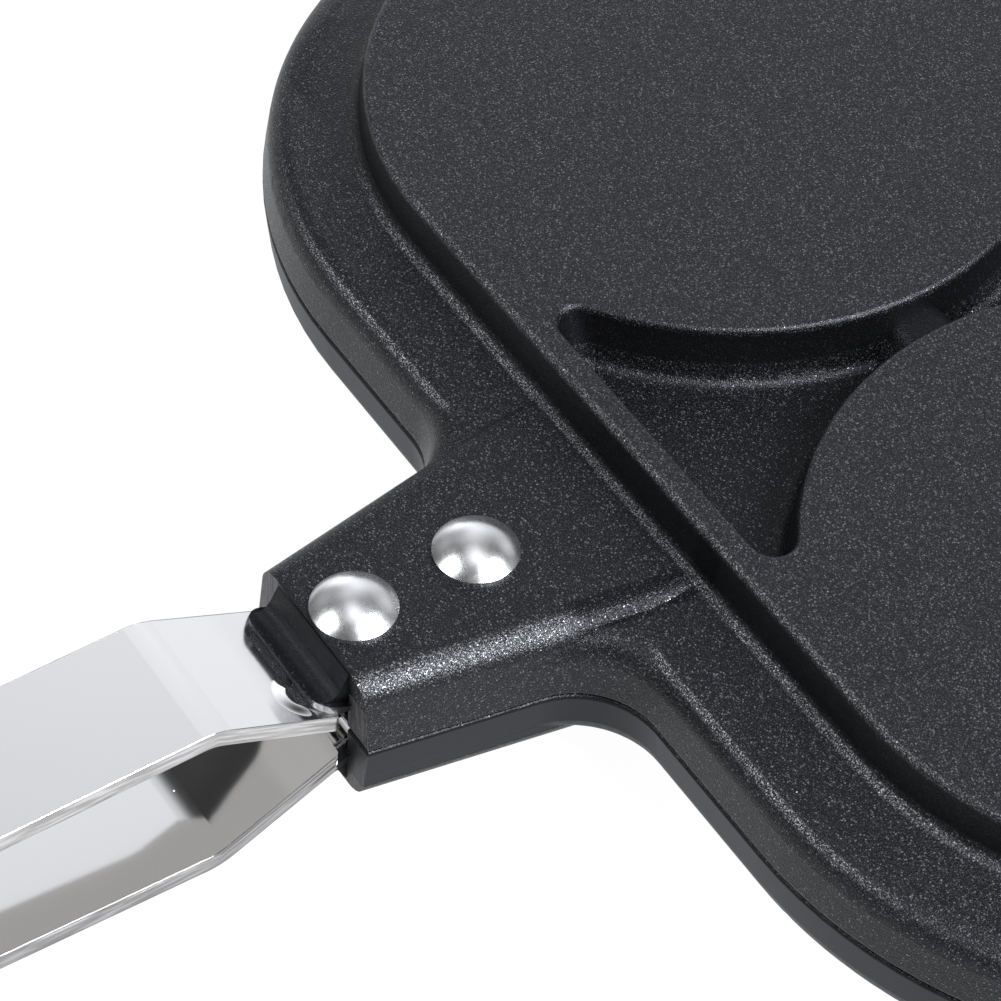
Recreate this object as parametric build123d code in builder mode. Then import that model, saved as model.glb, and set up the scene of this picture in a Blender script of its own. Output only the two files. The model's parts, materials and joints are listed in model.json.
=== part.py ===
from build123d import *
import os
from math import hypot, radians, tan

os.makedirs("parts", exist_ok=True)

# Double-sided pancake pan: two cast aluminium plates of four round moulds each, hinged at
# the back, with a riveted steel strip and a phenolic grip on each.
# Millimetres. X runs across the pan, the handles point to -Y, the hinge is at +Y.
# The lower plate rests on z = 0 with its four flat mould backs; the plates meet at mid_z.

# Cylinders that stand on their place
STANDING = (Align.CENTER, Align.CENTER, Align.MIN)

# Moulds and plates
mould_pitch = 83.3
plateau_radius = 40.0
half_thickness = 14.5
seam_gap = 0.3
wall = 3.0
mould_draft = 1.0
mould_floor_round = 2.5
ring_wall = 2.9
plateau_round = 0.8

# Rim round the moulds
rim_width = 11.6
rim_draft = 7.0
rim_drop_inner = 5.7
rim_drop_outer = 6.6
rim_round = 3.5
rim_wall = 3.2
rim_wall_run = 0.6
rim_base_round = 1.5
seam_round = 0.4
relief_depth = 4.05

# Recesses between the mould backs
web_width = 3.3
pocket_circle_step = 0.8
pocket_edge_round = 0.7
pocket_depth = 7.5
pocket_draft = 5.5
pocket_corner = 2.5
pocket_floor_round = 1.5
saddle_drop = 2.9
saddle_length = 5.6
saddle_run = 2.6
saddle_half_width = 4.0
saddle_round = 2.0

# Handle lug
lug_length = 26.9
lug_end_half_width = 10.95
lug_taper = 10.0
lug_drop = 5.5
lug_edge_round = 2.8
lug_corner_radius = 9.5
lug_wall = 4.0
lug_channel_stop = 1.6
lip_half_width = 7.7
lip_ramp_half_width = 6.9
lip_length = 4.1
lip_root = 3.0
lip_thickness = 0.9
lip_corner = 2.5
lip_ramp_drop = 0.4
lip_ramp_run = 1.7
lip_ramp_round = 1.6
lip_crest_round = 0.4

# Handle strip
strip_width = 16.4
strip_neck_width = 13.3
strip_neck_reach = 1.6
strip_neck_round = 0.7
strip_thickness = 2.0
strip_seat = 3.7
strip_crest = 11.15
strip_bend_start = 0.6
strip_rise_run = 15.2
strip_slope = 0.025
strip_bend_radius = 7.0
strip_end_gap = 2.0

# Rivets
rivet_first = 7.2
rivet_spacing = 14.85
rivet_shank_radius = 2.5
rivet_head_radius = 4.66
rivet_head_height = 2.3
rivet_head_edge = 0.4
rivet_tail_radius = 3.7
rivet_tail_height = 1.1
rivet_clearance = 0.05

# Hinge
hinge_offset_x = 30.0
hinge_reach = 6.2
knuckle_root = 1.6
knuckle_radius = 5.0
knuckle_width = 8.0
fork_ear_width = 5.0
hinge_side_gap = 0.4
pin_radius = 2.0
pin_running_gap = 0.06
pin_seat_gap = 0.02
pin_head_radius = 3.4
pin_head_height = 1.2
pin_head_round = 0.5

# Grips
grip_start = 61.0
grip_length = 120.0
grip_inner_gap = 0.5
grip_height = 12.6
grip_front_width = 21.0
grip_belly_width = 26.0
grip_end_width = 22.0
grip_belly_place = 0.45
grip_end_straight = 18.0
grip_front_height = 11.6
grip_end_height = 11.4
grip_outer_round = 4.5
grip_inner_round = 1.0
grip_socket_gap = 0.1
tang_length = 84.0
tang_width = 13.0
tang_shoulder = 1.5
strip_end_round = 3.0
grip_end_round = 8.0
screw_place_front = 18.0
screw_end_inset = 18.0
screw_radius = 2.0
screw_head_radius = 3.8
screw_head_height = 2.2
screw_head_recess = 0.6
screw_hole_gap = 0.1
insert_radius = 3.0
insert_length = 2.2
insert_clearance = 0.1
insert_bore_gap = 0.05
screw_head_round = 0.6
screw_slot_length = 4.0
screw_slot_width = 1.0
screw_slot_depth = 1.2

# Closing loop
loop_wire_radius = 1.5
loop_side_gap = 0.6
loop_pivot_inset = 6.0
loop_pivot_height = 6.5
loop_bar_gap = 0.4
loop_pin_depth = 4.0
loop_pin_corner = 2.5
loop_corner = 5.0
loop_hole_gap = 0.1

# Places worked out from the sizes above
mid_z = half_thickness
top_z = 2 * half_thickness
mould_offset = mould_pitch / 2
mould_radius = plateau_radius - wall
plateau_half = mould_offset + plateau_radius
pocket_reach = plateau_half - web_width
rim_face = plateau_half + rim_width
rim_narrowing = (top_z - rim_drop_outer - mid_z - seam_gap / 2) * tan(radians(rim_draft))
lug_end = rim_face + lug_length
lug_top_z = top_z - lug_drop
rim_outer_z = top_z - rim_drop_outer
rim_inner_z = top_z - rim_drop_inner
seam_z = mid_z + seam_gap / 2
strip_seat_z = mid_z + strip_seat
strip_start = rim_face + lug_channel_stop + strip_end_gap
bend_y = lug_end + strip_bend_start
crest_y = bend_y + strip_rise_run
strip_rise_slope = (strip_crest - strip_seat) / strip_rise_run
lip_rise = lip_thickness * hypot(1, strip_rise_slope)
rear_rivet_y = rim_face + rivet_first
front_rivet_y = rear_rivet_y + rivet_spacing
rivet_dome_rise = rivet_head_height - rivet_head_edge
rivet_dome_radius = (rivet_head_radius**2 + rivet_dome_rise**2) / (2 * rivet_dome_rise)
hinge_y = rim_face + hinge_reach
fork_ear_offset = knuckle_width / 2 + hinge_side_gap + fork_ear_width / 2
pin_half_length = fork_ear_offset + fork_ear_width / 2
grip_front = lug_end + grip_start
grip_rear = grip_front + grip_length
grip_inner_z = mid_z + grip_inner_gap / 2
tang_end = grip_front + tang_length
strip_neck_end = lug_end + strip_neck_reach
shoulder_y = grip_front + tang_shoulder
screw_places = [grip_front + screw_place_front, tang_end - screw_end_inset]
loop_pivot_y = grip_rear - loop_pivot_inset
loop_pivot_z = mid_z - loop_pivot_height
loop_leg_x = grip_end_width / 2 + loop_side_gap + loop_wire_radius
loop_pin_end = grip_end_width / 2 - loop_pin_depth
loop_reach = grip_inner_z + grip_height - loop_pivot_z + loop_bar_gap + loop_wire_radius


def lug_half_width(y):
    """Half width of the handle lug at a distance y from the pan's centre towards the handle."""
    return lug_end_half_width + (lug_end - y) * tan(radians(lug_taper))


def strip_rise_top(y):
    """Height of the handle strip's upper face at a distance y on its way up to the crest."""
    return strip_seat_z + (y - bend_y) * strip_rise_slope


def strip_top(y):
    """Height of the handle strip's upper face at a distance y beyond its crest."""
    return mid_z + strip_crest - (y - crest_y) * strip_slope


def plate_outline(step):
    """Four mould circles joined by tangent straight sides, grown outwards by step."""
    side = 2 * (plateau_half + step)
    RectangleRounded(side, side, plateau_radius + step)


def lug_outline(inset, start, stop):
    """Tapered handle lug seen from above, between two distances from the pan's centre."""
    with BuildLine() as sides:
        Polyline(
            (-lug_half_width(start) + inset, -start),
            (lug_half_width(start) - inset, -start),
            (lug_half_width(stop) - inset, -stop),
            (-lug_half_width(stop) + inset, -stop),
            close=True,
        )
    make_face(sides.edges())


def strip_profile(thickness, side):
    """Handle strip seen from the side: flat seat, rise and slow fall, drawn from its upper face."""
    with BuildLine() as strip_line:
        FilletPolyline(
            (-strip_start, strip_seat_z),
            (-bend_y, strip_seat_z),
            (-crest_y, mid_z + strip_crest),
            (-tang_end, strip_top(tang_end)),
            radius=strip_bend_radius,
        )
        offset(amount=thickness, side=side)
    make_face(strip_line.edges())


def hinge_profile(upward):
    """Hinge knuckle seen from the side, joined to the rim of the upper or the lower plate."""
    reach = hinge_y - rim_face + knuckle_root
    depth = knuckle_radius - seam_gap / 2
    with Locations((hinge_y, mid_z)):
        Circle(knuckle_radius)
    with Locations((hinge_y - reach / 2, mid_z + upward * (seam_gap / 2 + depth / 2))):
        Rectangle(reach, depth)


# Punches: the room of one mould, and the recess between the mould backs
with BuildPart() as mould_punch:
    with BuildSketch(Plane.XZ):
        with BuildLine():
            mould_side = Polyline(
                (0, seam_z),
                (mould_radius, seam_z),
                (mould_radius - mould_draft, top_z - wall),
                (0, top_z - wall),
                close=True,
            )
        make_face()
        fillet(mould_side.vertices().group_by(Axis.Y)[-1].sort_by(Axis.X)[-1], mould_floor_round)
    revolve(axis=Axis.Z)

with BuildPart() as pocket_punch:
    with BuildSketch(Plane.XY.offset(top_z)):
        Rectangle(2 * mould_offset, 2 * pocket_reach)
        Rectangle(2 * pocket_reach, 2 * mould_offset)
    extrude(amount=-pocket_depth, taper=pocket_draft)
    with BuildSketch(Plane.XY.offset(top_z)):
        with GridLocations(mould_pitch, mould_pitch, 2, 2):
            Circle(plateau_radius - pocket_circle_step)
    extrude(amount=-pocket_depth, taper=-pocket_draft, mode=Mode.SUBTRACT)
    web_corners = pocket_punch.edges().filter_by(
        lambda e: e.bounding_box().size.Z > pocket_depth - 0.01
        and max(abs(e.center().X), abs(e.center().Y)) > pocket_reach - pocket_corner
    )
    fillet(web_corners, pocket_corner)
    fillet(pocket_punch.faces().sort_by(Axis.Z)[0].edges(), pocket_floor_round)

# Lip: a thin tongue of the lug's roof that follows the strip as it bends up
with BuildPart() as lip:
    with BuildSketch(Plane.YZ):
        with BuildLine():
            lip_tip_y = lug_end + 2 * lip_length
            ramp = FilletPolyline(
                (-lug_end + lip_root, lug_top_z - lip_ramp_drop),
                (-lug_end, lug_top_z - lip_ramp_drop),
                (-lug_end - lip_ramp_run, strip_rise_top(lug_end + lip_ramp_run) + lip_rise),
                (-lip_tip_y, strip_rise_top(lip_tip_y) + lip_rise),
                radius=[lip_crest_round, lip_ramp_round],
            )
            Polyline(
                ramp @ 1,
                (-lip_tip_y, strip_rise_top(lip_tip_y) - strip_thickness / 2),
                (-bend_y, strip_seat_z - strip_thickness / 2),
                (-lug_end + lip_root, strip_seat_z - strip_thickness / 2),
                ramp @ 0,
            )
        make_face()
    extrude(amount=lip_ramp_half_width, both=True)
    with BuildSketch(Plane.YZ):
        with BuildLine():
            Polyline(
                (-lug_end, strip_rise_top(lug_end) + lip_rise),
                (-lip_tip_y, strip_rise_top(lip_tip_y) + lip_rise),
                (-lip_tip_y, strip_rise_top(lip_tip_y) - strip_thickness / 2),
                (-bend_y, strip_seat_z - strip_thickness / 2),
                (-lug_end, strip_seat_z - strip_thickness / 2),
                close=True,
            )
        make_face()
    extrude(amount=lip_half_width, both=True)
    with BuildSketch(Plane.XY):
        with Locations((0, -lug_end - lip_length / 2 + lip_root / 2)):
            RectangleRounded(2 * lip_half_width, lip_length + lip_root, lip_corner)
    extrude(amount=top_z, mode=Mode.INTERSECT)
    with BuildSketch(Plane.YZ):
        strip_profile(strip_thickness, Side.LEFT)
    extrude(amount=strip_width / 2, both=True, mode=Mode.SUBTRACT)


# Plate: rim and lug, sloped rim top, plateau, recesses, moulds and the hollow underside
with BuildPart() as half_plate:
    for z, inset in ((seam_z, 0), (rim_outer_z, rim_narrowing)):
        with BuildSketch(Plane.XY.offset(z)) as rim_outline:
            plate_outline(rim_width - inset)
            lug_outline(inset, lug_end, plateau_half)
            wall_meets_lug = rim_outline.vertices().sort_by_distance((0, inset - rim_face, 0))[:2]
            fillet(wall_meets_lug, lug_corner_radius + inset)
    loft(ruled=True)
    top_edges = half_plate.faces().sort_by(Axis.Z)[-1].outer_wire().edges()
    fillet(top_edges, rim_round)
    fillet(half_plate.faces().sort_by(Axis.Z)[0].outer_wire().edges(), seam_round)
    with BuildSketch(Plane.XY.offset(rim_outer_z)):
        plate_outline(rim_width - rim_narrowing - rim_round)
    with BuildSketch(Plane.XY.offset(rim_inner_z)):
        plate_outline(rim_wall_run)
    loft(ruled=True)
    with BuildSketch(Plane.XY.offset(rim_inner_z)):
        plate_outline(rim_wall_run)
    with BuildSketch(Plane.XY.offset(top_z)):
        plate_outline(0)
    loft(ruled=True)
    plateau_rim = half_plate.faces().sort_by(Axis.Z)[-1].outer_wire().edges()
    fillet(plateau_rim, plateau_round)
    wall_base = half_plate.edges().filter_by(
        lambda e: abs(e.center().Z - rim_inner_z) < 0.01 and e.bounding_box().size.Z < 0.01
    )
    fillet(wall_base, rim_base_round)


with BuildPart() as lug:
    with BuildSketch(Plane.XY.offset(seam_z)):
        lug_outline(0, lug_end + lug_wall, pocket_reach - lug_wall)
    extrude(amount=lug_top_z - seam_z, taper=rim_draft)
    long_edges = lug.faces().sort_by(Axis.Z)[-1].edges().filter_by(
        lambda e: abs(e.tangent_at(0.5).X) < 0.5
    )
    fillet(long_edges, lug_edge_round)
    with BuildSketch(Plane.XY.offset(seam_z + seam_round)):
        with Locations((0, -(lug_end + pocket_reach) / 2)):
            Rectangle(2 * plateau_radius, lug_end - pocket_reach)
    extrude(amount=half_thickness, mode=Mode.INTERSECT)

with BuildPart() as plate:
    add(half_plate.part)
    add(lug.part)
    add(pocket_punch.part, mode=Mode.SUBTRACT)
    fillet(plate.faces().sort_by(Axis.Z)[-1].inner_wires()[0].edges(), pocket_edge_round)
    for turn in range(4):
        with BuildSketch(Plane.XZ.rotated((0, 0, 90 * turn))) as saddle_side:
            with BuildLine():
                Polyline(
                    (mould_offset - saddle_length / 2 - saddle_run, top_z - pocket_depth),
                    (mould_offset - saddle_length / 2, top_z - saddle_drop),
                    (mould_offset + saddle_length / 2, top_z - saddle_drop),
                    (mould_offset + saddle_length / 2 + saddle_run, top_z - pocket_depth),
                    close=True,
                )
            make_face()
            fillet(saddle_side.vertices().group_by(Axis.Y)[-1], saddle_round)
        extrude(amount=saddle_half_width, both=True)
    with GridLocations(mould_pitch, mould_pitch, 2, 2):
        add(mould_punch.part, mode=Mode.SUBTRACT)
    with BuildSketch(Plane.XY.offset(seam_z)):
        plate_outline(rim_width - rim_wall)
        with GridLocations(mould_pitch, mould_pitch, 2, 2):
            Circle(mould_radius + ring_wall, mode=Mode.SUBTRACT)
    extrude(amount=relief_depth, mode=Mode.SUBTRACT)
    with BuildSketch(Plane.XY.offset(seam_z)):
        lug_outline(lug_wall, lug_end + lug_wall, rim_face + lug_channel_stop)
    extrude(amount=strip_seat_z - seam_z, mode=Mode.SUBTRACT)
    with BuildSketch(Plane.YZ):
        strip_profile(strip_thickness, Side.LEFT)
    extrude(amount=lug_end_half_width - lug_wall, both=True, mode=Mode.SUBTRACT)
    add(lip.part)
    with Locations((0, -rear_rivet_y, strip_seat_z), (0, -front_rivet_y, strip_seat_z)):
        Cylinder(
            rivet_shank_radius + rivet_clearance,
            half_thickness,
            align=STANDING,
            mode=Mode.SUBTRACT,
        )

# Upper and lower plate: the same casting, with a knuckle or a fork at each hinge place
with BuildPart() as upper_plate:
    add(plate.part)
    for centre in (-hinge_offset_x, hinge_offset_x):
        with BuildSketch(Plane.YZ.offset(centre)):
            hinge_profile(1)
            with Locations((hinge_y, mid_z)):
                Circle(pin_radius + pin_running_gap, mode=Mode.SUBTRACT)
        extrude(amount=knuckle_width / 2, both=True)
upper_plate.part.label = "upper_plate"
export_step(upper_plate.part, "parts/upper_plate.step")

with BuildPart() as lower_plate:
    mirror(plate.part, about=Plane.XY.offset(mid_z))
    for centre in (-hinge_offset_x, hinge_offset_x):
        for ear in (-fork_ear_offset, fork_ear_offset):
            with BuildSketch(Plane.YZ.offset(centre + ear)):
                hinge_profile(-1)
                with Locations((hinge_y, mid_z)):
                    Circle(pin_radius + pin_seat_gap, mode=Mode.SUBTRACT)
            extrude(amount=fork_ear_width / 2, both=True)
lower_plate.part.label = "lower_plate"
export_step(lower_plate.part, "parts/lower_plate.step")


def save_pair(upper_part, name):
    """Write a piece of the upper half and its mirror image in the lower half."""
    upper_part.label = "upper_" + name
    export_step(upper_part, "parts/upper_" + name + ".step")
    with BuildPart() as lower:
        mirror(upper_part, about=Plane.XY.offset(mid_z))
    lower.part.label = "lower_" + name
    export_step(lower.part, "parts/lower_" + name + ".step")


# Handle strip: bent from flat bar, narrowed to a tang inside the grip
with BuildPart() as handle_strip:
    with BuildSketch(Plane.YZ):
        strip_profile(strip_thickness, Side.LEFT)
    extrude(amount=strip_width / 2, both=True)
    with BuildSketch(Plane.XY) as strip_blank:
        with Locations((0, -(strip_start + strip_neck_end) / 2)):
            Rectangle(strip_neck_width, strip_neck_end - strip_start)
        with Locations((0, -(strip_neck_end + shoulder_y) / 2)):
            Rectangle(strip_width, shoulder_y - strip_neck_end)
        with Locations((0, -(shoulder_y + tang_end) / 2)):
            Rectangle(tang_width, tang_end - shoulder_y)
        fillet(strip_blank.vertices().group_by(Axis.Y)[-1], strip_end_round)
        fillet(strip_blank.vertices().group_by(Axis.Y)[0], strip_end_round)
        neck_corners = strip_blank.vertices().filter_by(
            lambda v: abs(v.Y + strip_neck_end) < 0.01 and abs(v.X) > strip_width / 2 - 0.01
        )
        fillet(neck_corners, strip_neck_round)
    extrude(amount=top_z, mode=Mode.INTERSECT)
    with Locations((0, -rear_rivet_y, mid_z), (0, -front_rivet_y, mid_z)):
        Cylinder(rivet_shank_radius + rivet_clearance, half_thickness, mode=Mode.SUBTRACT)
    with Locations(*[(0, -y, mid_z) for y in screw_places]):
        Cylinder(screw_radius + screw_hole_gap, top_z, mode=Mode.SUBTRACT)
save_pair(handle_strip.part, "handle_strip")

# Rivets: domed head on the lug, shank, and a flat tail formed against the strip
with BuildPart() as rivet:
    with BuildSketch(Plane.XZ):
        with BuildLine():
            rivet_bottom = strip_seat_z - strip_thickness - rivet_tail_height
            rivet_tail_top = strip_seat_z - strip_thickness
            Polyline(
                (0, lug_top_z + rivet_head_height),
                (0, rivet_bottom),
                (rivet_tail_radius, rivet_bottom),
                (rivet_tail_radius, rivet_tail_top),
                (rivet_shank_radius, rivet_tail_top),
                (rivet_shank_radius, lug_top_z),
                (rivet_head_radius, lug_top_z),
                (rivet_head_radius, lug_top_z + rivet_head_edge),
            )
            RadiusArc(
                (0, lug_top_z + rivet_head_height),
                (rivet_head_radius, lug_top_z + rivet_head_edge),
                rivet_dome_radius,
            )
        make_face()
    revolve(axis=Axis.Z)
for rivet_name, rivet_y in (("rear_rivet", rear_rivet_y), ("front_rivet", front_rivet_y)):
    with BuildPart() as placed_rivet:
        with Locations((0, -rivet_y, 0)):
            add(rivet.part)
    save_pair(placed_rivet.part, rivet_name)

# Hinge pins: a flat head outside one ear of the fork, the other end flush with its ear
with BuildPart() as hinge_pin:
    with BuildSketch(Plane.YZ.offset(-pin_half_length)):
        Circle(pin_radius)
    extrude(amount=2 * pin_half_length)
    with BuildSketch(Plane.YZ.offset(pin_half_length)):
        Circle(pin_head_radius)
    extrude(amount=pin_head_height)
    fillet(hinge_pin.edges().sort_by(Axis.X)[-1], pin_head_round)
for pin_name, centre in (("left_hinge_pin", -hinge_offset_x), ("right_hinge_pin", hinge_offset_x)):
    with BuildPart() as placed_pin:
        with Locations((centre, hinge_y, mid_z)):
            add(hinge_pin.part)
    placed_pin.part.label = pin_name
    export_step(placed_pin.part, "parts/" + pin_name + ".step")

# Grip: phenolic half round with a flat inner face, a socket for the tang and two screw bores
with BuildPart() as grip:
    with BuildSketch(Plane.XY.offset(grip_inner_z)):
        with BuildLine() as grip_outline:
            grip_side = ThreePointArc(
                (grip_front_width / 2, -grip_front),
                (grip_belly_width / 2, -grip_front - grip_belly_place * grip_length),
                (grip_end_width / 2, -grip_rear + grip_end_straight),
            )
            straight_side = Line(grip_side @ 1, (grip_end_width / 2, -grip_rear))
            Line(straight_side @ 1, (0, -grip_rear))
            mirror(about=Plane.YZ)
            Line((-grip_front_width / 2, -grip_front), grip_side @ 0)
        make_face()
    extrude(amount=grip_height + grip_outer_round)
    fillet(grip.edges().filter_by(Axis.Z).group_by(Axis.Y)[0], grip_end_round)
    with BuildSketch(Plane.YZ):
        with BuildLine():
            crown = ThreePointArc(
                (-grip_front, grip_inner_z + grip_front_height),
                (-grip_front - grip_belly_place * grip_length, grip_inner_z + grip_height),
                (-grip_rear, grip_inner_z + grip_end_height),
            )
            Polyline(crown @ 1, (-grip_rear, grip_inner_z), (-grip_front, grip_inner_z), crown @ 0)
        make_face()
    extrude(amount=grip_belly_width, both=True, mode=Mode.INTERSECT)
    crown_edges = grip.faces().sort_by(Axis.Z)[-1].edges().sort_by(Axis.Y)
    fillet(crown_edges[:-1], grip_outer_round)
    fillet(grip.faces().sort_by(Axis.Z)[0].edges(), grip_inner_round)
    with BuildSketch(Plane.YZ):
        with BuildLine():
            Polyline(
                (-grip_front, strip_top(grip_front) + grip_socket_gap),
                (-tang_end - grip_socket_gap, strip_top(tang_end) + grip_socket_gap),
                (-tang_end - grip_socket_gap, strip_top(tang_end) - strip_thickness - grip_socket_gap),
                (-grip_front, strip_top(grip_front) - strip_thickness - grip_socket_gap),
                close=True,
            )
        make_face()
    extrude(amount=tang_width / 2 + grip_socket_gap, both=True, mode=Mode.SUBTRACT)
    mouth_y = (grip_front + shoulder_y) / 2
    with Locations((0, -mouth_y, strip_top(mouth_y) - strip_thickness / 2)):
        Box(
            strip_width + 2 * grip_socket_gap,
            shoulder_y - grip_front + 2 * grip_socket_gap,
            strip_thickness + 4 * grip_socket_gap,
            mode=Mode.SUBTRACT,
        )
    for y in screw_places:
        insert_top = strip_top(y) + insert_clearance + insert_length
        with Locations((0, -y, grip_inner_z)):
            Cylinder(
                screw_radius + screw_hole_gap,
                insert_top - grip_inner_z,
                align=STANDING,
                mode=Mode.SUBTRACT,
            )
            Cylinder(
                screw_head_radius + screw_hole_gap,
                screw_head_recess + screw_head_height,
                align=STANDING,
                mode=Mode.SUBTRACT,
            )
        with Locations((0, -y, strip_top(y))):
            Cylinder(
                insert_radius,
                insert_clearance + insert_length,
                align=STANDING,
                mode=Mode.SUBTRACT,
            )

# The upper grip is plain; the lower one has two side holes for the closing loop
grip.part.label = "upper_grip"
export_step(grip.part, "parts/upper_grip.step")
with BuildPart() as lower_grip:
    mirror(grip.part, about=Plane.XY.offset(mid_z))
    for side in (-1, 1):
        with BuildSketch(Plane.YZ.offset(side * (grip_end_width / 2 + loop_hole_gap))):
            with Locations((-loop_pivot_y, loop_pivot_z)):
                Circle(loop_wire_radius + loop_hole_gap)
        extrude(amount=-side * (loop_pin_depth + 2 * loop_hole_gap), mode=Mode.SUBTRACT)
lower_grip.part.label = "lower_grip"
export_step(lower_grip.part, "parts/lower_grip.step")

# Screws and inserts: the screw enters from the inner face, through the tang, into the insert
for screw_name, y in (("front", screw_places[0]), ("rear", screw_places[1])):
    head_z = grip_inner_z + screw_head_recess
    insert_z = strip_top(y) + insert_clearance
    with BuildPart() as screw:
        with Locations((0, -y, head_z)):
            Cylinder(screw_head_radius, screw_head_height, align=STANDING)
            Cylinder(
                screw_radius,
                insert_z + insert_length - head_z,
                align=STANDING,
            )
        fillet(screw.edges().group_by(Axis.Z)[0], screw_head_round)
        with BuildSketch(Plane.XY.offset(head_z)):
            with Locations((0, -y)):
                Rectangle(screw_slot_length, screw_slot_width)
                Rectangle(screw_slot_width, screw_slot_length)
        extrude(amount=screw_slot_depth, mode=Mode.SUBTRACT)
    save_pair(screw.part, screw_name + "_screw")
    with BuildPart() as insert:
        with BuildSketch(Plane.XY.offset(insert_z)):
            with Locations((0, -y)):
                Circle(insert_radius)
                Circle(screw_radius + insert_bore_gap, mode=Mode.SUBTRACT)
        extrude(amount=insert_length)
    save_pair(insert.part, screw_name + "_insert")

# Closing loop: bent wire, its two ends turned into the lower grip, parked straight behind it
with BuildPart() as closing_loop:
    with BuildLine(Plane.XY.offset(loop_pivot_z)) as loop_wire:
        FilletPolyline(
            (-loop_pin_end, -loop_pivot_y),
            (-loop_leg_x, -loop_pivot_y),
            (-loop_leg_x, -loop_pivot_y - loop_reach),
            (loop_leg_x, -loop_pivot_y - loop_reach),
            (loop_leg_x, -loop_pivot_y),
            (loop_pin_end, -loop_pivot_y),
            radius=[loop_pin_corner, loop_corner, loop_corner, loop_pin_corner],
        )
    with BuildSketch(Plane(origin=loop_wire.wire() @ 0, z_dir=loop_wire.wire() % 0)):
        Circle(loop_wire_radius)
    sweep()
closing_loop.part.label = "closing_loop"
export_step(closing_loop.part, "parts/closing_loop.step")
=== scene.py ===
import bpy, json
from math import cos, sin, radians
from mathutils import Matrix, Vector

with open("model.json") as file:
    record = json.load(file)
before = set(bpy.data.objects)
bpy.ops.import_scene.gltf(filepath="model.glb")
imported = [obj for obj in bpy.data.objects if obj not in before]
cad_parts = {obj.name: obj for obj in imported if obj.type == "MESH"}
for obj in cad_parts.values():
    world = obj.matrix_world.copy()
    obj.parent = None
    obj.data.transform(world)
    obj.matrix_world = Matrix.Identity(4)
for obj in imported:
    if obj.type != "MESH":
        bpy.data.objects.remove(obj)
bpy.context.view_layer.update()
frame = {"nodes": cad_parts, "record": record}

# Places on the pan, in metres: across and along from its middle, and up from the floor
CLOSED_THICKNESS = 0.029
MOULD_CENTRE = 0.04165
LUG_END, LUG_END_HALF_WIDTH, LUG_TAPER = -0.12015, 0.01095, 0.1763
# The middle of the upper strip's thickness: on the slope that climbs out of the lug, and past its crest
SLOPE_START, SLOPE_START_HEIGHT, SLOPE = -0.12075, 0.0172, 0.49
CREST, CREST_HEIGHT, SLOPE_PAST_CREST = -0.13595, 0.02465, 0.025
# The middle of the strip's raised stop, and where the strip starts to ease towards the lug
STOP_ACROSS, STOP_ALONG = 0.0046, -0.1246
EASING_START = -0.1285


# Camera where the photograph was taken, fitted to the moulds, rim, rivets and lug
def place_camera():
    data = bpy.data.cameras.new("camera")
    data.sensor_width = 36.0
    data.lens = 133.25
    data.clip_start = 0.02
    data.clip_end = 20.0
    camera = bpy.data.objects.new("camera", data)
    bpy.context.scene.collection.objects.link(camera)
    turn, lift, roll = radians(54.08023), radians(48.51453), radians(3.85388)
    target = Vector((-0.00067982, -0.09725381, CLOSED_THICKNESS))
    distance = 0.3820313
    back = Vector((sin(turn) * cos(lift), -cos(turn) * cos(lift), sin(lift)))
    right = Vector((cos(turn), sin(turn), 0.0))
    up = back.cross(right)
    side = right * cos(roll) + up * sin(roll)
    top = up * cos(roll) - right * sin(roll)
    axes = Matrix((side, top, back)).transposed().to_4x4()
    camera.matrix_world = Matrix.Translation(target + back * distance) @ axes
    bpy.context.scene.camera = camera


place_camera()


# A way in space, from a turn about +Z and a lift above the floor in degrees
def heading(turn, lift):
    turn, lift = radians(turn), radians(lift)
    return Vector((cos(lift) * cos(turn), cos(lift) * sin(turn), sin(lift)))


# Softboxes aim at the lug from where the rivets mirror them
def softbox(name, turn, lift, width, height, watts):
    data = bpy.data.lights.new(name, "AREA")
    data.shape = "RECTANGLE"
    data.size = width
    data.size_y = height
    data.energy = watts
    lamp = bpy.data.objects.new(name, data)
    bpy.context.scene.collection.objects.link(lamp)
    lug = Vector((0.0, -0.1, 0.025))
    distance = 1.2
    away = heading(turn, lift)
    lamp.location = lug + away * distance
    lamp.rotation_euler = (-away).to_track_quat("-Z", "Y").to_euler()


softbox("handle_side_softbox", -110.0, 43.0, 0.54, 0.60, 6.2)
softbox("right_softbox", 22.0, 46.0, 0.62, 0.60, 37.0)
softbox("overhead_softbox", 166.0, 75.0, 0.40, 0.40, 0.16)

# Keeps the white floor white in the picture
bpy.context.scene.view_settings.view_transform = "Standard"


# Sets the sockets of a node: a wire is linked, anything else is the socket's own value
def feed(node, values):
    for name, value in values.items():
        if isinstance(value, Wire):
            value.tree.links.new(value.socket, node.inputs[name])
        else:
            node.inputs[name].default_value = value


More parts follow.
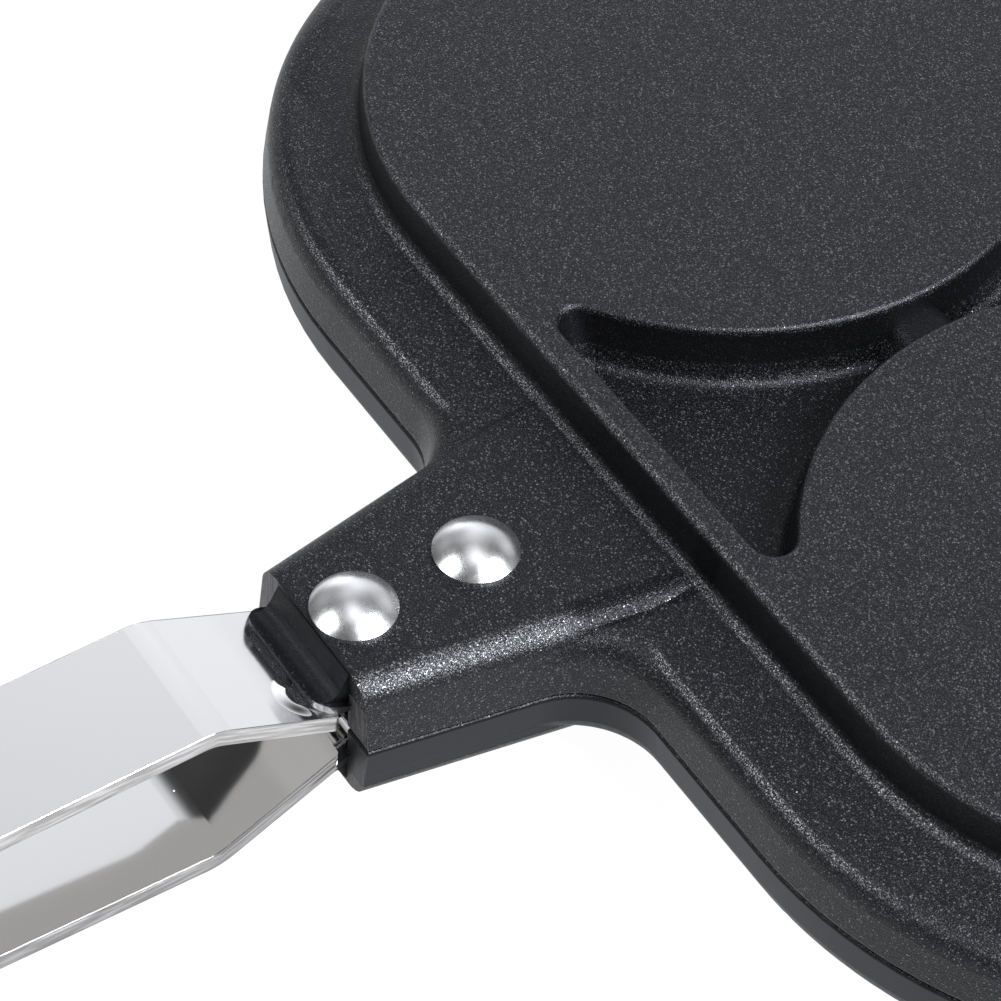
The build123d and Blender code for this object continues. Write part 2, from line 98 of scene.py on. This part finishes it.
# Arithmetic on a wire adds Math nodes to the finish that the wire belongs to
class Wire:
    def __init__(self, tree, socket=None):
        self.tree = tree
        self.socket = socket

    def node(self, kind, settings, inputs, out=0):
        made = self.tree.nodes.new("ShaderNode" + kind)
        for name, value in settings.items():
            setattr(made, name, value)
        feed(made, inputs)
        return Wire(self.tree, made.outputs[out])

    def maths(self, operation, *values):
        return self.node("Math", {"operation": operation}, dict(enumerate(values)))

    def __add__(self, other):
        return self.maths("ADD", self, other)

    def __sub__(self, other):
        return self.maths("SUBTRACT", self, other)

    def __rsub__(self, other):
        return self.maths("SUBTRACT", other, self)

    def __mul__(self, other):
        return self.maths("MULTIPLY", self, other)

    def __pow__(self, other):
        return self.maths("POWER", self, other)

    def __abs__(self):
        return self.maths("ABSOLUTE", self)

    __radd__ = __add__
    __rmul__ = __mul__

    def smaller(self, other):
        return self.maths("MINIMUM", self, other)

    def larger(self, other):
        return self.maths("MAXIMUM", self, other)

    # Goes smoothly from 0 at the first value to 1 at the second, which may be the lower one
    def step(self, zero, one):
        ends = {"Value": self, "From Min": zero, "From Max": one}
        return self.node("MapRange", {"interpolation_type": "SMOOTHSTEP"}, ends)

    # 1 between the inner two of four rising values and 0 outside the outer two
    def band(self, start, full, fade, end):
        return self.step(start, full) * self.step(end, fade)

    # A Mix node's sockets for colours go by number, since its other kinds of value share their names
    def mix(self, first, second):
        factor, colour_a, colour_b, colour_out = 0, 6, 7, 2
        first, second = (c if isinstance(c, Wire) else (*c, 1.0) for c in (first, second))
        sockets = {factor: self, colour_a: first, colour_b: second}
        return self.node("Mix", {"data_type": "RGBA"}, sockets, colour_out)

    def axis(self, name):
        return self.node("SeparateXYZ", {}, {"Vector": self}, name)

    def stretched(self, x, y, z):
        return self.node("Mapping", {}, {"Vector": self, "Scale": (x, y, z)})

    def noise(self, scale, detail):
        sockets = {"Vector": self, "Scale": scale, "Detail": detail}
        return self.node("TexNoise", {}, sockets, "Fac")

    # Scattered points: the distance to the nearest one, and a value from 0 to 1 that each draws for itself
    def points(self, scale):
        sockets = {"Vector": self, "Scale": scale}
        colour = self.node("TexVoronoi", {}, sockets, "Color")
        draw = self.node("SeparateColor", {}, {"Color": colour}, "Red")
        return self.node("TexVoronoi", {}, sockets, "Distance"), draw


# Dark studio with a white backdrop behind the pan: soft glows fitted to what the rivets, strips and coat
# mirror, each with its turn and lift in degrees and its strength
def light_room():
    world = bpy.data.worlds.new("studio_room")
    world.use_nodes = True
    view = Wire(world.node_tree).node("TexCoord", {}, {}, "Generated")
    cool_white = (0.965, 0.975, 1.0, 1.0)
    dim_room, narrowness = 0.012, 27.0
    glow = dim_room
    for turn, lift, strength in (
        (95, 26, 0.82), (120, 26, 0.34), (125, 4, 0.87), (145, 26, 1.12), (160, 4, 2.05),
        (195, 26, 0.5), (136, 48, 0.43), (164, 48, 0.61), (160, 68, 0.14), (0, 88, 1.8),
    ):
        ways = {0: view, 1: heading(turn, lift)}
        near = view.node("VectorMath", {"operation": "DOT_PRODUCT"}, ways, "Value")
        glow = glow + strength * near.maths("EXPONENT", (near - 1.0) * narrowness)
    feed(world.node_tree.nodes["Background"], {
        "Color": cool_white,
        "Strength": glow,
    })
    bpy.context.scene.world = world


light_room()


def start_finish(name):
    material = bpy.data.materials.new(name)
    material.use_nodes = True
    tree = material.node_tree
    return material, tree.nodes["Principled BSDF"], Wire(tree).node("TexCoord", {}, {}, "Object")


def relief(height, depth):
    return height.node("Bump", {}, {"Height": height, "Strength": 1.0, "Distance": depth})


def darker(shade, share):
    return tuple(level * share for level in shade)


# How far a place lies outside the square of the four mould centres, which the moulds and rim run round
def mould_reach(across, along):
    past_side = (abs(across) - MOULD_CENTRE).larger(0.0)
    past_end = (abs(along) - MOULD_CENTRE).larger(0.0)
    return (past_side ** 2.0 + past_end ** 2.0) ** 0.5


# Painted highlight lines, where the coat's flecks are made more and lighter: the foot and the upper edge of
# the moulds, and the rim's edge but where the lug leaves it; fainter towards the pan's sides
def painted_highlight_lines(reach, across, along, height):
    mould_foot = reach.band(0.0407, 0.0410, 0.0415, 0.0420) * height.step(0.0246, 0.0242)
    mould_edge = reach.band(0.0392, 0.0395, 0.0399, 0.0402) * height.step(0.0279, 0.0283)
    off_the_lug = abs(across).step(0.018, 0.021).larger(along.step(-0.085, -0.080))
    rim_edge = reach.band(0.0492, 0.0495, 0.0499, 0.0503) * off_the_lug
    near_middle = 0.25 + abs(across).step(0.064, 0.044) * 0.75
    return (mould_foot + rim_edge + mould_edge * 0.6) * near_middle


# Bare metal on the lug's end face beside the strip: over its whole height at the left, low down at the right
def sawn_end(across, along, height):
    end_face = along.band(-0.12034, -0.12026, -0.12014, -0.12010) * abs(across).step(0.0069, 0.00695)
    return end_face * across.step(0.002, -0.002).larger(height.step(0.0205, 0.0202))


# Non-stick coat: charcoal with fine light mineral flecks, few of them on the lip's ramp and the moulds'
# walls, none on the smooth band between two heights, more and lighter ones along painted highlight lines;
# bare metal at the sawn end
def non_stick_coat(name, smooth_low, smooth_high, sawn_shade):
    material, shader, place = start_finish(name)
    across, along, height = place.axis("X"), place.axis("Y"), place.axis("Z")
    reach = mould_reach(across, along)
    past_lug_side = across - (along - LUG_END) * LUG_TAPER - LUG_END_HALF_WIDTH
    blend = 0.0003

    smooth = height.band(smooth_low, smooth_low + blend, smooth_high, smooth_high + blend)
    ramp = along.band(-0.1245, -0.1236, -0.1203, -0.1190) * abs(across).step(0.0088, 0.0078)
    mould_wall = height.band(0.0240, 0.0244, 0.0280, 0.0284)
    # Places that get painted shade below: the pockets, the rim top and the crease beside the lug
    pocket = height.step(0.0230, 0.0222) * abs(across).step(0.080, 0.079) * abs(along).step(0.080, 0.079)
    rim_top = reach.step(0.0425, 0.0435) * height.step(0.0215, 0.0222)
    crease = past_lug_side.band(-0.0050, -0.0042, -0.0012, -0.0002)
    crease = crease * along.band(-0.0975, -0.0950, -0.0825, -0.0800)
    # Painted highlight along the lug's rounded top edge on the +X side
    lug_edge_highlight = past_lug_side.band(-0.0040, -0.0030, -0.0016, -0.0008) * along.step(-0.0950, -0.0985)
    upper_side = height.step(0.0195, 0.0210)
    highlight_lines = painted_highlight_lines(reach, across, along, height) * upper_side
    painted_highlight = highlight_lines + lug_edge_highlight * 0.8 * upper_side

    distance, draw = place.points(4200.0)
    shimmer = place.noise(7400.0, 2.0)
    flecks = distance.step(0.55, 0.15) * draw ** 8.0 + shimmer.step(0.56, 0.84) * 0.65
    flecks = flecks * (1.0 - smooth) * (1.0 - ramp * 0.9) * (1.0 - mould_wall * 0.92)
    # Extra flecks along the painted highlight lines
    flecks = flecks + place.noise(6000.0, 2.0).step(0.50, 0.72) * painted_highlight * 0.62

    cloud = place.noise(70.0, 3.0)
    grain = place.noise(5600.0, 1.0)
    charcoal = (cloud * 0.5 + grain * 0.5).mix((0.0006, 0.0006, 0.0009), (0.0022, 0.0022, 0.0030))
    charcoal = smooth.mix(charcoal, (0.0032, 0.0032, 0.0042))
    # The flecks are lighter along the painted highlight lines
    mineral = painted_highlight.mix((0.21, 0.22, 0.24), (0.52, 0.54, 0.57))
    sawn = sawn_end(across, along, height)
    saw_marks = place.stretched(4200.0, 4200.0, 260.0).noise(1.0, 3.0)
    bare = saw_marks.step(0.3, 0.75).mix(darker(sawn_shade, 0.3), sawn_shade)

    # Painted shade: a metallic near-black has hardly any reflection of its own, so the coat is darkened in
    # the pockets, on the rim top and along the crease on the lug's +X side; the smooth band is made duller
    # the same way
    painted_shade_and_dull_band = pocket * 0.32 + rim_top * 0.15 + smooth * 0.3 + crease * 0.4
    feed(shader, {
        "Base Color": sawn.mix(flecks.mix(charcoal, mineral), bare),
        "Roughness": 0.34 + grain * 0.1 + (smooth + ramp) * 0.06 - flecks * 0.14 + highlight_lines * 0.16,
        "Metallic": (flecks * (1.0 - sawn)).larger(painted_shade_and_dull_band),
        "Specular IOR Level": 0.34,
        "Specular Tint": (0.87, 0.91, 1.0, 1.0),
        "Normal": relief(grain * (1.0 - smooth * 0.85) * (1.0 - ramp * 0.7) + saw_marks * sawn, 0.00009),
    })
    return material


# Polished stainless flat bar: a mirror with sheared long edges, eased where it leaves the lug. The upper
# strip has a darker underside, painted shade that darkens what the lower strip mirrors of it, and the small
# raised stop that the lip half covers. The lower one is its mirror image about the seam, without the stop
# and with dust on it
def strip_steel(name, upper, edge_shade, underside_painted_shade):
    material, shader, place = start_finish(name)
    across, along, height = place.axis("X"), place.axis("Y"), place.axis("Z")
    facing = height if upper else CLOSED_THICKNESS - height
    slope = SLOPE_START_HEIGHT + (SLOPE_START - along) * SLOPE
    past_crest = CREST_HEIGHT + (along - CREST) * SLOPE_PAST_CREST
    depth = slope.smaller(past_crest) - facing
    under = depth.step(-0.0002, 0.0002)
    dustiness, stop_height, corner_fall = (0.0, 0.45, 0.07) if upper else (1.0, 0.0, 0.16)

    rolled = place.stretched(900.0, 30.0, 900.0).noise(1.0, 3.0)
    edge = abs(across).step(0.00806, 0.00816)
    corner = abs(depth).step(0.00066, 0.00098)
    lay = place.node("CombineXYZ", {}, {"X": depth * 2400.0, "Y": along * 190.0})
    shear_marks = lay.noise(1.0, 3.0).step(0.38, 0.66)
    distance, draw = place.points(900.0)
    dust = distance.step(0.13, 0.08) * draw.step(0.93, 0.95) * dustiness

    stop = (across - STOP_ACROSS) ** 2.0 + ((along - STOP_ALONG) * 1.1) ** 2.0
    stop = (stop ** 0.5).step(0.0031, 0.0014) * (1.0 - under)
    from_easing = along - EASING_START
    easing = from_easing.step(0.0, 0.0001) * (from_easing * 142.0) ** 2.0 * (1.0 - under)
    swell = easing * 0.8 + stop * stop_height - corner * edge * corner_fall
    swell = swell + place.noise(60.0, 0.0) * 0.012 + rolled * 0.0012 + edge * shear_marks * 0.02

    # The upper strip's darker underside is painted shade
    face = under.mix((0.90, 0.90, 0.91), underside_painted_shade)
    sheared = shear_marks.mix(darker(edge_shade, 0.6), edge_shade)
    feed(shader, {
        "Base Color": dust.mix(edge.mix(face, sheared), (0.8, 0.8, 0.8)),
        "Roughness": 0.06 + rolled * 0.04 + edge * 0.26 + dust * 0.5,
        "Metallic": 1.0 - dust * 0.8,
        "Normal": relief(swell, 0.001),
    })
    return material


# Drawn wire: a mirror with faint lines
def wire_steel(name):
    material, shader, place = start_finish(name)
    rolled = place.stretched(900.0, 900.0, 60.0).noise(1.0, 3.0)
    feed(shader, {
        "Base Color": rolled.mix((0.72, 0.73, 0.74), (0.82, 0.83, 0.84)),
        "Roughness": 0.13 + rolled * 0.06,
        "Metallic": 1.0,
        "Normal": relief(rolled, 0.000004),
    })
    return material


# Rivet heads: pressed metal with fine dents and a clouded shine
def pressed_rivet(name):
    material, shader, place = start_finish(name)
    dents = place.noise(420.0, 2.0)
    fine = place.noise(1800.0, 1.0)
    feed(shader, {
        "Base Color": dents.mix((0.62, 0.63, 0.65), (0.86, 0.87, 0.88)),
        "Roughness": 0.18 + dents * 0.12 + fine * 0.06,
        "Metallic": 1.0,
        "Normal": relief(dents + fine * 0.06, 0.000014),
    })
    return material


# Grips: compression-moulded phenolic with a satin grain
def moulded_phenolic(name):
    material, shader, place = start_finish(name)
    grain = place.noise(1500.0, 3.0)
    cloud = place.noise(45.0, 3.0)
    feed(shader, {
        "Base Color": cloud.mix((0.009, 0.009, 0.0095), (0.016, 0.016, 0.017)),
        "Roughness": 0.36 + cloud * 0.1 + grain * 0.08,
        "Normal": relief(grain, 0.00003),
    })
    return material


# Turned metal: fine tool marks on screws, pins and inserts
def turned_metal(name, dark, light):
    material, shader, place = start_finish(name)
    tool_marks = place.stretched(1800.0, 1800.0, 5200.0).noise(1.0, 2.0)
    feed(shader, {
        "Base Color": tool_marks.mix(dark, light),
        "Roughness": 0.25 + tool_marks * 0.12,
        "Metallic": 1.0,
        "Normal": relief(tool_marks, 0.000008),
    })
    return material


def dress(piece, finish):
    worn = frame["nodes"][piece].data.materials
    worn.clear()
    worn.append(finish)


slot_finishes = {
    "rivet_steel": pressed_rivet("pressed_rivet"),
    "phenolic": moulded_phenolic("moulded_phenolic"),
    "fastener_steel": turned_metal("turned_steel", (0.42, 0.43, 0.44), (0.66, 0.67, 0.68)),
    "insert_brass": turned_metal("turned_brass", (0.55, 0.38, 0.16), (0.80, 0.60, 0.30)),
    "loop_wire": wire_steel("drawn_wire"),
}
for row in frame["record"]["subparts"]:
    if row["material_slot"] in slot_finishes:
        dress(row["node"], slot_finishes[row["material_slot"]])

# The upper plate has no smooth band, so its heights lie far above the pan
dress("upper_plate", non_stick_coat(
    "upper_plate_coat", smooth_low=1.0, smooth_high=2.0, sawn_shade=(0.10, 0.10, 0.105)))
dress("lower_plate", non_stick_coat(
    "lower_plate_coat", smooth_low=0.0079, smooth_high=0.0141, sawn_shade=(0.04, 0.04, 0.042)))
dress("upper_handle_strip", strip_steel(
    "upper_strip_steel", upper=True, edge_shade=(0.66, 0.66, 0.67), underside_painted_shade=(0.36, 0.35, 0.34)))
# The lower strip's sheared edges are darker than the upper strip's: painted shade
dress("lower_handle_strip", strip_steel(
    "lower_strip_steel", upper=False, edge_shade=(0.46, 0.46, 0.47), underside_painted_shade=(0.90, 0.90, 0.91)))


# White floor just under the pan, lit from within so that it stays an even white
def lay_floor():
    side, drop = 6.0, 0.0002
    bpy.ops.mesh.primitive_plane_add(size=side, location=(0.0, 0.0, -drop))
    floor = bpy.context.object
    floor.name = "floor"
    material = bpy.data.materials.new("studio_floor")
    material.use_nodes = True
    feed(material.node_tree.nodes["Principled BSDF"], {
        "Base Color": (0.06, 0.06, 0.06, 1.0),
        "Roughness": 0.9,
        "Specular IOR Level": 0.0,
        "Emission Color": (1.0, 1.0, 1.0, 1.0),
        "Emission Strength": 0.98,
    })
    floor.data.materials.append(material)


lay_floor()
